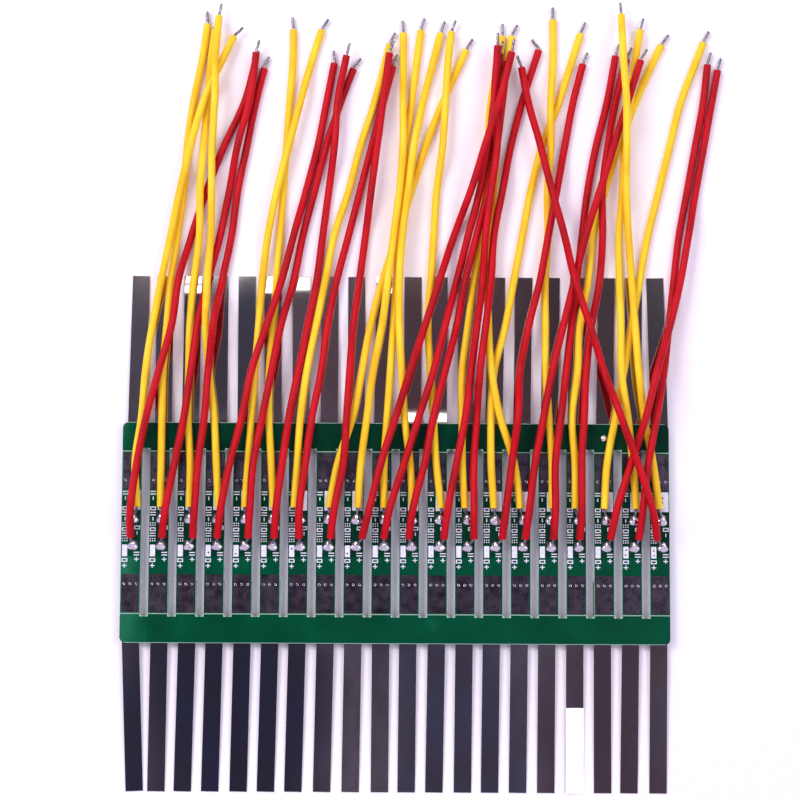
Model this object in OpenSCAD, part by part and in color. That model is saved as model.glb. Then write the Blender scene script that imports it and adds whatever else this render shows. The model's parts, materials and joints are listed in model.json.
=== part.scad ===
/* [Boards] */
// Width of one board across the panel
board_w = 3.4; // [3.2:0.1:3.8]
// Length of one board between its two scored lines
board_l = 28; // [28:1:32]
// Thickness of the laminate
board_t = 0.8; // [0.6:0.1:1.6]
// Width of the rail that joins the boards at each end
rail_w = 5; // [4:0.5:8]
// Depth of the scored line on each face
score_depth = 0.25; // [0.1:0.05:0.25]

/* [Pads] */
// Width of the battery pad at each end of a board
battery_pad_w = 2.9; // [2.4:0.1:3]
// Length of the battery pad
battery_pad_l = 6.5; // [5:0.5:6.5]
// Width of the pad that a lead is soldered to
lead_pad_w = 1.6; // [1.4:0.1:1.8]
// Length of the pad that a lead is soldered to
lead_pad_l = 1.8; // [1.6:0.1:2]
// Height of the solder on a lead's pad
solder_h = 0.6; // [0.5:0.05:0.7]

/* [Nickel strips] */
// Width of a strip
strip_w = 3; // [2:0.1:3]
// Thickness of a strip
strip_t = 0.15; // [0.1:0.05:0.2]
// How far a strip at the yellow leads' end reaches out past the rail
minus_strip_reach = 25.9; // [15:0.1:30]
// How far a strip at the red leads' end reaches out past the rail
plus_strip_reach = 25.3; // [15:0.1:30]

/* [Leads] */
// Diameter over the insulation
lead_d = 1.3; // [1:0.1:1.3]
// Diameter of the tinned core
core_d = 0.5; // [0.4:0.05:0.6]
// Bare length at the free end
tip_l = 2.3; // [1:0.1:4]

/* [Hidden] */
GROUPS = [
    "panel", "battery_pads", "lead_pads", "white_print", "minus_strips", "plus_strips", "strip_solder",
    "minus_lead_solder", "plus_lead_solder", "lead_cores", "yellow_tips", "red_tips", "protection_chips",
    "protection_chip_pins", "mosfets", "mosfet_pins", "resistors", "capacitors", "chip_end_caps",
    "rail_solder_dot"
];

// The leads, board by board from -X to +X. A lead runs along +Y, and a row holds its X at
// each station, how many other leads it lies over there, and the Y where its insulation ends.
yellow_leads = [
    [[-44.5, -45, -44, -43.5, -42.5, -41, -39.5, -38, -36, -34, -30.5, -27],
        [0, 0, 0, 0, 0, 1, 1, 1, 2, 1, 1, 0], 87.5],
    [[-40.5, -40.5, -40.5, -40.5, -40, -39.5, -38.5, -37.5, -37, -36, -34.5, -33.5],
        [0, 0, 0, 0, 0, 0, 0, 0, 0, 0, 0, 0], 90],
    [[-35.5, -35.5, -36, -36, -36, -35.5, -34.5, -34.5, -34, -33.5, -33, -32],
        [0, 0, 0, 0, 0, 0, 1, 1, 1, 0, 0, 0], 89],
    [[-30.5, -31, -31.5, -32.5, -33, -33, -32.5, -32.5, -32.5, -32, -32, -31.5],
        [0, 0, 0, 0, 2, 1, 1, 1, 1, 2, 2, 1], 91],
    [[-26, -25.5, -25, -24.5, -24, -23.5, -22.5, -21, -19, -17, -15, -12.5],
        [0, 0, 0, 0, 0, 0, 1, 1, 1, 1, 0, 0], 89],
    [[-21, -21.5, -22, -22, -21.5, -21, -20.5, -20, -19.5, -19, -18.5, -18.5],
        [0, 0, 0, 0, 0, 0, 0, 0, 0, 0, 0, 0], 89],
    [[-17.5, -17, -16.5, -15.5, -14, -12.5, -11, -8.5, -6.5, -4, -2, 0],
        [0, 0, 0, 0, 0, 0, 0, 0, 0, 0, 0, 0], 86.5],
    [[-11.5, -10, -7.5, -6, -4.5, -2.5, 0, 2.5, 5, 8, 11.5, 15],
        [0, 0, 0, 0, 0, 0, 0, 0, 0, 0, 0, 0], 85.5],
    [[-6.5, -6, -5, -4, -2.5, -1.5, -0.5, 0.5, 1, 1, 1, 1],
        [0, 0, 0, 0, 1, 2, 2, 2, 1, 1, 0, 0], 88.5],
    [[-2, -2, -1.5, -1, -0.5, 0, 0.5, 1, 1.5, 2.5, 3.5, 4.5],
        [0, 0, 0, 0, 0, 1, 1, 1, 0, 0, 0, 0], 89],
    [[3, 2.5, 1.5, 1, 0.5, 0.5, 1, 2, 3, 4.5, 6.5, 8.5],
        [0, 0, 0, 1, 1, 2, 2, 2, 1, 0, 0, 0], 88.5],
    [[8, 7, 6.5, 6, 5.5, 6, 6.5, 7, 8, 8.5, 9, 10],
        [0, 0, 0, 0, 0, 0, 0, 0, 1, 1, 1, 0], 88.5],
    [[12, 11.5, 11.5, 11.5, 12.5, 13.5, 15, 15.5, 16, 16.5, 18, 19],
        [0, 0, 0, 0, 0, 0, 0, 0, 0, 0, 0, 0], 88],
    [[17, 16.5, 16.5, 17, 19, 20.5, 22, 23.5, 25.5, 28.5, 31, 33.5],
        [0, 0, 0, 0, 0, 0, 0, 0, 0, 0, 0, 0], 88.5],
    [[21.5, 20.5, 18, 16.5, 16, 16, 16.5, 17, 17.5, 18, 19.5, 21],
        [0, 0, 1, 1, 1, 0, 0, 0, 0, 0, 0, 0], 88],
    [[27, 27, 26.5, 26, 26, 26, 26.5, 26.5, 27, 27, 27.5, 27.5],
        [0, 0, 0, 0, 0, 0, 0, 0, 1, 1, 0, 0], 91],
    [[31, 31, 30.5, 31.5, 32, 33.5, 34.5, 36.5, 39, 42, 45.5, 49.5],
        [0, 0, 0, 0, 0, 0, 0, 0, 0, 0, 0, 0], 86.5],
    [[36, 36.5, 38, 39.5, 41, 42.5, 44, 46, 48, 50, 53, 56],
        [0, 0, 0, 0, 0, 0, 0, 0, 0, 0, 0, 0], 87],
    [[41.5, 41, 40, 39, 39, 39, 39, 39.5, 40, 41, 42, 43.5],
        [0, 0, 1, 1, 1, 0, 0, 1, 1, 1, 1, 0], 89],
    [[45.5, 44.5, 43, 42, 41.5, 41, 40.5, 40, 40, 40, 39.5, 39.5],
        [0, 0, 0, 1, 1, 1, 1, 2, 3, 3, 3, 1], 91.5]
];
red_leads = [
    [[-45.5, -45.5, -44.5, -43, -41, -39, -38, -36, -33.5, -30.5, -27, -25, -23],
        [0, 1, 1, 1, 1, 1, 1, 0, 0, 0, 0, 0, 0], 83],
    [[-40.5, -39.5, -38, -36.5, -35.5, -34.5, -33, -31, -29.5, -28, -26, -25, -24.5],
        [0, 1, 1, 1, 1, 1, 0, 0, 0, 1, 1, 1, 0], 84.5],
    [[-35, -34.5, -34, -33, -32.5, -31.5, -30.5, -29, -28, -26.5, -25, -23, -20.5],
        [0, 1, 1, 1, 1, 3, 0, 0, 0, 0, 0, 0, 0], 82],
    [[-31, -30, -28.5, -26.5, -25, -22.5, -20, -18, -16, -14, -12.5, -11, -9.5],
        [0, 1, 1, 1, 1, 1, 1, 1, 0, 0, 0, 0, 0], 83],
    [[-25.5, -25, -24.5, -23, -21.5, -20, -18, -16.5, -14.5, -12.5, -10, -7, -3.5],
        [0, 1, 1, 1, 1, 1, 0, 0, 0, 0, 0, 0, 0], 82],
    [[-21, -20.5, -19.5, -18.5, -17, -15.5, -14, -13, -12, -11, -10.5, -9, -7.5],
        [0, 1, 1, 0, 0, 0, 0, 0, 0, 1, 1, 1, 0], 84],
    [[-16.5, -16.5, -15.5, -14.5, -13, -12, -10.5, -8.5, -6.5, -4.5, -2.5, -0.5, 1],
        [0, 1, 1, 0, 0, 0, 0, 0, 0, 0, 0, 0, 0], 82.5],
    [[-11.5, -10.5, -9, -8.5, -8, -7.5, -6.5, -5.5, -4.5, -3.5, -2.5, -1.5, -0.5],
        [0, 1, 1, 1, 1, 0, 0, 0, 1, 1, 1, 1, 1], 84.5],
    [[-6.5, -4.5, -2.5, 0, 2.5, 5, 7.5, 10, 13, 15.5, 18, 20, 22],
        [0, 1, 1, 1, 2, 1, 1, 0, 2, 3, 3, 3, 1], 84],
    [[-2.5, -1, 1.5, 4, 6.5, 8.5, 10.5, 12.5, 14.5, 16, 17, 18, 19],
        [0, 1, 1, 1, 1, 1, 0, 1, 1, 1, 1, 1, 1], 84.5],
    [[2, 3, 5, 6.5, 8.5, 10.5, 12, 14, 16, 17.5, 18.5, 19.5, 21],
        [0, 1, 1, 1, 1, 0, 1, 1, 1, 1, 1, 1, 0], 83],
    [[8, 9, 10.5, 12, 13, 14, 15, 15.5, 16.5, 17.5, 17, 17.5, 18],
        [0, 1, 1, 1, 1, 2, 1, 2, 2, 2, 2, 2, 2], 85.5],
    [[13.5, 13.5, 13.5, 14, 14.5, 15.5, 16.5, 17, 18.5, 20, 22, 24.5, 27],
        [0, 1, 0, 0, 2, 2, 1, 1, 1, 0, 0, 0, 0], 85.5],
    [[18, 19, 20, 21, 21.5, 23, 25, 26.5, 28, 29.5, 31, 33, 34.5],
        [0, 1, 1, 2, 0, 1, 1, 1, 1, 0, 0, 0, 0], 83],
    [[22, 23, 24, 25.5, 27, 29, 31, 33, 35.5, 38, 40.5, 43, 45],
        [0, 1, 1, 1, 1, 1, 1, 2, 2, 2, 2, 2, 0], 83],
    [[27, 27.5, 27.5, 28.5, 29.5, 30.5, 31.5, 32.5, 33.5, 35, 37, 38.5, 40],
        [0, 1, 1, 1, 0, 0, 0, 0, 0, 0, 0, 0, 0], 84.5],
    [[31.5, 32, 32, 32.5, 33, 34, 35.5, 36, 36, 37, 38.5, 40.5, 43],
        [0, 1, 1, 1, 0, 0, 0, 1, 1, 1, 0, 0, 0], 84],
    [[36.5, 38, 40.5, 43, 45, 47.5, 49.5, 51, 52.5, 54, 55.5, 57, 58.5],
        [0, 1, 1, 2, 2, 1, 1, 1, 0, 0, 0, 0, 0], 82],
    [[41.5, 42.5, 43.5, 45, 46.5, 47.5, 48.5, 49.5, 51, 52.5, 54, 55, 56.5],
        [0, 1, 1, 1, 0, 0, 0, 0, 0, 0, 0, 0, 0], 83],
    [[45.5, 44, 41.5, 38.5, 36, 33.5, 31, 29, 27, 25, 23, 21.5, 20],
        [0, 2, 2, 3, 1, 2, 2, 3, 2, 2, 1, 1, 0], 82]
];
board_count = len(yellow_leads);
station_gap = 8;
yellow_first_station = 4;
red_first_station = -4;
yellow_start = 4.3;
red_start = -1;
ring_gap = 4;
lead_sides = 8;
layer_h = 1.45;
slope_end = 52;

// Every strip sits a little off its board's middle, and its tip leans a little towards +X or -X.
minus_shift = [0.4, 0.4, 0.2, 0.4, 0.4, 0.4, 0.3, 0.4, 0.3, 0, 0.4, 0.1, 0.2, 0, 0.1, 0.1, -0.1, 0, 0.2, 0.4];
minus_lean = [0.7, -0.2, 0.3, -0.2, -0.3, -0.7, -0.2, 0, -0.1, 0.6, 0.2, 0.3, 0.3, 1.2, 1, 1, 1.3, 1.5, 0.9,
    -1.1];
plus_shift = [-0.3, 0.3, 0.4, 0.3, 0.3, 0.3, 0.2, 0.2, 0.1, 0, -0.1, 0.1, 0, -0.1, -0.1, -0.2, -0.2, -0.3,
    -0.1, -0.1];
plus_lean = [2.2, -0.5, -1.1, -1.1, -1, -1.2, -1.2, -1, -0.7, -0.2, -0.4, -0.8, -0.5, -0.6, -0.6, -0.4, -0.2,
    0, -0.8, -0.5];

pitch = 4.8;
end_gap = 0.25;
corner_r = 1;
slot_w = pitch - board_w;
slot_overrun = 0.5;
score_w = 0.4;
panel_w = pitch * (board_count - 1) + board_w;
panel_l = board_l + 2 * rail_w;

pad_t = 0.05;
via_d = 0.5;
via_bore = 0.3;
via_pitch = 1.05;
via_inset = 4.8;
lead_pad_x = 0.45;
lead_pad_y = 2.3;
print_t = 0.03;
print_r = 0.3;
mark_w = 0.2;
mark_l = 0.8;
plus_mark = [0.9, -5];
minus_marks = [[-1, 6.4], [-1, 4.6], [-1, 2.6], [-1, -0.2], [1, 0.3], [-0.9, -5.9]];

// Each white box: its middle's X and Y, its width and its length.
print_boxes = [[0.65, 5.5, 1.8, 3.4], [-1.05, -3.2, 0.9, 2]];

solder_layer = 0.05;
solder_inset = 1;

chip = [1.6, 2.9, 1.1];
chip_y = 2.9;
chip_pin = [0.6, 0.4, 0.65];
chip_pin_pitch = 0.95;
mosfet = [3, 4.4, 1];
mosfet_y = -3.4;
mosfet_pin = [1, 0.25, 0.6];
mosfet_pin_pitch = 0.65;
standoff = 0.1;
pin_t = 0.15;
resistor = [1.6, 0.8, 0.45];
resistor_y = [0.6, 5];
capacitor = [1.6, 0.8, 0.8];
capacitor_y = 6.1;
end_cap = 0.3;

board_bottom = chip[2];
board_top = board_bottom + board_t;
pad_top = board_top + pad_t;
strip_z = board_bottom - pad_t - solder_layer - strip_t;
strip_start = board_l / 2 - end_gap - battery_pad_l + solder_inset;
core_sink = 0.25;
solder_r = lead_pad_w / 2;
rail_dot = [36, board_l / 2 + rail_w / 2, board_top];
rail_dot_d = 1.3;
$fn = 48;

function board_x(i) = pitch * (i - (board_count - 1) / 2);
function two_digits(n) = n < 10 ? str("0", n) : str(n);

// A smooth curve through evenly spaced values, at t counted in stations.
function curve(v, t) = let (
        i = min(floor(t), len(v) - 2),
        u = t - i,
        b = v[i],
        c = v[i + 1],
        a = i > 0 ? v[i - 1] : 2 * b - c,
        d = i < len(v) - 2 ? v[i + 2] : 2 * c - b
    )
    (2 * b + (c - a) * u + (2 * a - 5 * b + 4 * c - d) * u * u + (3 * b - a - 3 * c + d) * u * u * u) / 2;
function ease(u) = let (w = max(0, min(1, u))) w * w * (3 - 2 * w);
function level(v, t) = let (i = min(floor(t), len(v) - 2)) v[i] + (v[i + 1] - v[i]) * ease(t - i);

// The height that the lowest leads lie at: on the pads, and past the rail down to the table.
function bed(y) = pad_top * (1 - ease((y - panel_l / 2) / (slope_end - panel_l / 2)));
function lead_point(lead, first, y) = let (t = (y - first) / station_gap)
    [curve(lead[0], t), y, bed(y) + lead_d / 2 + layer_h * level(lead[1], t)];
function lead_path(lead, first, start) = let (n = ceil((lead[2] - start) / ring_gap))
    [for (k = [0:n]) lead_point(lead, first, start + (lead[2] - start) * k / n)];
function yellow_path(i) = lead_path(yellow_leads[i], yellow_first_station, yellow_start);
function red_path(i) = lead_path(red_leads[i], red_first_station, red_start);

// The point inside the solder that a lead's bare core runs to, straight from its insulation.
function yellow_joint(i) = [board_x(i) + lead_pad_x, lead_pad_y, pad_top + core_sink];
function red_joint(i) = [board_x(i) + lead_pad_x, -lead_pad_y, pad_top + core_sink];

function unit(v) = v / norm(v);
function heading(path, k) = unit(path[min(k + 1, len(path) - 1)] - path[max(k - 1, 0)]);
function ring(middle, way, d, sides) = let (side = unit(cross(way, [0, 0, 1])), up = cross(side, way))
    [for (s = [0:sides - 1]) middle + d / 2 * (cos(360 * s / sides) * side + sin(360 * s / sides) * up)];

// A tube along a path, closed at both ends. Its first end is square to the way that it is given.
module tube(path, first_way, d, sides) {
    last = len(path) - 1;
    polyhedron(
        points = [for (k = [0:last]) each ring(path[k], k == 0 ? first_way : heading(path, k), d, sides)],
        faces = [
            [for (s = [0:sides - 1]) s],
            for (k = [0:last - 1], s = [0:sides - 1])
                let (a = k * sides + s, b = k * sides + (s + 1) % sides) [a, a + sides, b + sides, b],
            [for (s = [sides - 1:-1:0]) last * sides + s]
        ]
    );
}

module rod(from, to, d) {
    way = to - from;
    translate(from)
        rotate([0, acos(way[2] / norm(way)), atan2(way[1], way[0])])
            cylinder(h = norm(way), d = d);
}

module each_board() {
    for (i = [0:board_count - 1])
        translate([board_x(i), 0, 0])
            children();
}

module rounded_rectangle(w, l, r) {
    square([w, l - 2 * r], center = true);
    square([w - 2 * r, l], center = true);
    for (x = [-1, 1], y = [-1, 1])
        translate([x * (w / 2 - r), y * (l / 2 - r)])
            circle(r);
}

// The three plated holes of the battery pad at the end that side is the sign of.
module at_vias(side) {
    for (k = [-1:1])
        translate([k * via_pitch, side * (board_l / 2 - end_gap - via_inset), 0])
            children();
}

module slot() {
    end_y = board_l / 2 + slot_overrun - slot_w / 2;
    square([slot_w, 2 * end_y], center = true);
    for (y = [-end_y, end_y])
        translate([0, y])
            circle(d = slot_w);
}

module score_line() {
    rotate([90, 0, 90])
        linear_extrude(panel_w, center = true)
            polygon([[-score_w / 2, 0], [score_w / 2, 0], [0, -score_depth]]);
}

module panel() {
    color("darkgreen")
        difference() {
            translate([0, 0, board_bottom])
                linear_extrude(board_t)
                    difference() {
                        rounded_rectangle(panel_w, panel_l, corner_r);
                        for (i = [0:board_count - 2])
                            translate([board_x(i + 0.5), 0])
                                slot();
                        each_board()
                            for (side = [-1, 1])
                                at_vias(side)
                                    circle(d = via_d);
                    }
            for (y = [-board_l / 2, board_l / 2]) {
                translate([0, y, board_top])
                    score_line();
                translate([0, y, board_bottom])
                    mirror([0, 0, 1])
                        score_line();
            }
        }
}

module battery_pad(side) {
    middle = side * (board_l / 2 - end_gap - battery_pad_l / 2);
    difference() {
        union() {
            for (z = [board_bottom - pad_t, board_top])
                translate([-battery_pad_w / 2, middle - battery_pad_l / 2, z])
                    cube([battery_pad_w, battery_pad_l, pad_t]);
            at_vias(side)
                translate([0, 0, board_bottom])
                    cylinder(h = board_t, d = via_d);
        }
        at_vias(side)
            translate([0, 0, board_bottom - 1])
                cylinder(h = board_t + 2, d = via_bore);
    }
}

module battery_pads() {
    color("slategray")
        each_board()
            for (side = [-1, 1])
                battery_pad(side);
}

module lead_pads() {
    color("silver")
        each_board()
            for (y = [-lead_pad_y, lead_pad_y])
                translate([lead_pad_x - lead_pad_w / 2, y - lead_pad_l / 2, board_top])
                    cube([lead_pad_w, lead_pad_l, pad_t]);
}

module white_print() {
    color("lavender")
        translate([0, 0, board_top])
            linear_extrude(print_t)
                each_board() {
                    for (box = print_boxes)
                        translate([box[0], box[1]])
                            rounded_rectangle(box[2], box[3], print_r);
                    for (mark = minus_marks)
                        translate(mark)
                            square([mark_l, mark_w], center = true);
                    translate(plus_mark) {
                        square([mark_l, mark_w], center = true);
                        square([mark_w, mark_l], center = true);
                    }
                }
}

// A nickel strip: flat under the pad and the rail, then sloping down to the table.
module strip(side, reach, shift, lean) {
    rail_edge = panel_l / 2;
    tip = rail_edge + reach;
    translate([shift, side * strip_start, 0])
        rotate([0, 0, -side * lean])
            translate([strip_w / 2, -side * strip_start, 0])
                rotate([90, 0, -90])
                    linear_extrude(strip_w)
                        polygon([
                            [-side * strip_start, strip_z],
                            [-side * rail_edge, strip_z],
                            [-side * tip, 0],
                            [-side * tip, strip_t],
                            [-side * rail_edge, strip_z + strip_t],
                            [-side * strip_start, strip_z + strip_t]
                        ]);
}

module minus_strips() {
    color("dimgray")
        for (i = [0:board_count - 1])
            translate([board_x(i), 0, 0])
                strip(1, minus_strip_reach, minus_shift[i], minus_lean[i]);
}

module plus_strips() {
    color("dimgray")
        for (i = [0:board_count - 1])
            translate([board_x(i), 0, 0])
                strip(-1, plus_strip_reach, plus_shift[i], plus_lean[i]);
}

module strip_solder() {
    length = battery_pad_l - 2 * solder_inset;
    width = strip_w - 2 * solder_inset;
    color("silver")
        each_board()
            for (side = [-1, 1])
                translate([0, side * (board_l / 2 - end_gap - solder_inset - length / 2), strip_z + strip_t])
                    linear_extrude(solder_layer)
                        square([width, length], center = true);
}

module lead_cores() {
    color("silver")
        for (i = [0:board_count - 1]) {
            rod(yellow_joint(i), yellow_path(i)[0], core_d);
            rod(red_joint(i), red_path(i)[0], core_d);
        }
}

// A shallow dome of solder, standing on z = 0.
module dome(r, h) {
    ball_r = (r * r + h * h) / (2 * h);
    intersection() {
        translate([0, 0, h - ball_r])
            sphere(ball_r);
        translate([-r - 1, -r - 1, 0])
            cube([2 * r + 2, 2 * r + 2, h + 1]);
    }
}

module minus_lead_solder() {
    color("gainsboro")
        for (i = [0:board_count - 1])
            difference() {
                translate([board_x(i) + lead_pad_x, lead_pad_y, pad_top])
                    dome(solder_r, solder_h);
                rod(yellow_joint(i), yellow_path(i)[0], core_d);
            }
}

module plus_lead_solder() {
    color("gainsboro")
        for (i = [0:board_count - 1])
            difference() {
                translate([board_x(i) + lead_pad_x, -lead_pad_y, pad_top])
                    dome(solder_r, solder_h);
                rod(red_joint(i), red_path(i)[0], core_d);
            }
}

module tip(path) {
    end = path[len(path) - 1];
    rod(end, end + tip_l * heading(path, len(path) - 1), core_d);
}

module yellow_tips() {
    color("gray")
        for (i = [0:board_count - 1])
            tip(yellow_path(i));
}

module red_tips() {
    color("gray")
        for (i = [0:board_count - 1])
            tip(red_path(i));
}

module yellow_lead(i) {
    color("gold")
        tube(yellow_path(i), unit(yellow_path(i)[0] - yellow_joint(i)), lead_d, lead_sides);
}

module red_lead(i) {
    color("crimson")
        tube(red_path(i), unit(red_path(i)[0] - red_joint(i)), lead_d, lead_sides);
}

// Children stand on the back face, with their own +Z pointing away from the board.
module on_back(y) {
    each_board()
        translate([0, y, board_bottom])
            mirror([0, 0, 1])
                children();
}

module package(size) {
    translate([-size[0] / 2, -size[1] / 2, standoff])
        cube([size[0], size[1], size[2] - standoff]);
}

// A bent pin that leaves a package's side at x = 0: how far it reaches, its width, its height.
module pin(size) {
    foot = size[0] / 2;
    rotate([90, 0, 0])
        linear_extrude(size[1], center = true)
            polygon([
                [0, size[2] - pin_t],
                [foot - pin_t, size[2] - pin_t],
                [foot - pin_t, 0],
                [size[0], 0],
                [size[0], pin_t],
                [foot, pin_t],
                [foot, size[2]],
                [0, size[2]]
            ]);
}

module protection_chips() {
    color("dimgray")
        on_back(chip_y)
            package(chip);
}

module protection_chip_pins() {
    color("silver")
        on_back(chip_y)
            for (turn = [0, 180], k = [-1:1])
                rotate([0, 0, turn])
                    translate([chip[0] / 2, k * chip_pin_pitch, 0])
                        pin(chip_pin);
}

module mosfets() {
    color("dimgray")
        on_back(mosfet_y)
            package(mosfet);
}

module mosfet_pins() {
    color("silver")
        on_back(mosfet_y)
            for (turn = [90, 270], k = [-1.5:1.5])
                rotate([0, 0, turn])
                    translate([mosfet[1] / 2, k * mosfet_pin_pitch, 0])
                        pin(mosfet_pin);
}

module chip_body(size) {
    translate([-size[0] / 2 + end_cap, -size[1] / 2, 0])
        cube([size[0] - 2 * end_cap, size[1], size[2]]);
}

module chip_caps(size) {
    for (x = [-size[0] / 2, size[0] / 2 - end_cap])
        translate([x, -size[1] / 2, 0])
            cube([end_cap, size[1], size[2]]);
}

module resistors() {
    color("black")
        for (y = resistor_y)
            on_back(y)
                chip_body(resistor);
}

module capacitors() {
    color("tan")
        on_back(capacitor_y)
            chip_body(capacitor);
}

module chip_end_caps() {
    color("silver") {
        for (y = resistor_y)
            on_back(y)
                chip_caps(resistor);
        on_back(capacitor_y)
            chip_caps(capacitor);
    }
}

module rail_solder_dot() {
    color("gainsboro")
        translate(rail_dot)
            dome(rail_dot_d / 2, rail_dot_d / 3);
}

function lead_names(colour) = [for (i = [1:board_count]) str(colour, "_lead_", two_digits(i))];

panel();
battery_pads();
lead_pads();
white_print();
minus_strips();
plus_strips();
strip_solder();
minus_lead_solder();
plus_lead_solder();
lead_cores();
yellow_tips();
red_tips();
protection_chips();
protection_chip_pins();
mosfets();
mosfet_pins();
resistors();
capacitors();
chip_end_caps();
rail_solder_dot();
for (i = [0:board_count - 1]) {
    yellow_lead(i);
    red_lead(i);
}
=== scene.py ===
# %% [markdown]
# # A panel of battery protection boards
#
# Twenty narrow circuit boards leave the factory as one sheet. Each has a nickel strip at both ends, a
# yellow lead and a red lead. The CAD model gives every piece its size and place, so this lesson starts by
# loading it, and then dresses it: what is a plain solid there gets its real surface here.

# %% Loading the frame
import json
import math
import random
import bpy
from mathutils import Matrix, Vector


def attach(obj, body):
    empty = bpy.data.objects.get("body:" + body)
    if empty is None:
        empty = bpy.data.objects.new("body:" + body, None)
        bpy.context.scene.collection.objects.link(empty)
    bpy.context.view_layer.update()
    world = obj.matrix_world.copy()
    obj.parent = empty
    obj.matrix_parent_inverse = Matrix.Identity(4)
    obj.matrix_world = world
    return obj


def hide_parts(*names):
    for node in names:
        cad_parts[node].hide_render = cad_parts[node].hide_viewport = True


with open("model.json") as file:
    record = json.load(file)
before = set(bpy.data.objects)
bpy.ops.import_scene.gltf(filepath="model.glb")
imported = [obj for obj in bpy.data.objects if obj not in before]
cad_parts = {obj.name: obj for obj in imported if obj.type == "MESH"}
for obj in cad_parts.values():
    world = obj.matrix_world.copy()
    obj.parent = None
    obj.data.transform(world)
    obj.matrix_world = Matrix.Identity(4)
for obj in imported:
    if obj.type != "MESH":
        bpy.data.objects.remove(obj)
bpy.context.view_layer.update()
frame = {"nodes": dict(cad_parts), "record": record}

nodes = frame["nodes"]
mm = 0.001
print("CAD nodes:", len(nodes))

# %% [markdown]
# ## The camera
#
# The panel is looked down on from about a third of a metre, a few degrees off the vertical, with a lens
# long enough that the boards at the edge are hardly seen from the side.

# %% The camera
view_tilt, view_turn = math.radians(5.68), math.radians(0.26)
look_at = Vector((0.7, 23.05, 1.9)) * mm
view_distance = 362.6 * mm
bpy.ops.object.camera_add(rotation=(view_tilt, 0, view_turn))
camera = bpy.context.object
camera.name = "camera"
camera.data.lens, camera.data.sensor_width = 94, 36
camera.data.clip_start = 10 * mm
turned = camera.rotation_euler.to_matrix() @ Vector((0, 0, 1))
camera.location = look_at + view_distance * turned
bpy.context.scene.camera = camera
print("camera at", [round(v / mm) for v in camera.location], "mm")

# %% [markdown]
# ## The leads' routes
#
# A lead is a stiff little wire: soldered at one end, it leaves its pad, climbs over its neighbours and
# lies down on the table. Its route is a short list of places across the panel, one every 8 mm of its way,
# and beside it how many other leads it lies over there. One smooth curve goes through the places, and the
# height eases from layer to layer, so no lead cuts through another.

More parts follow.
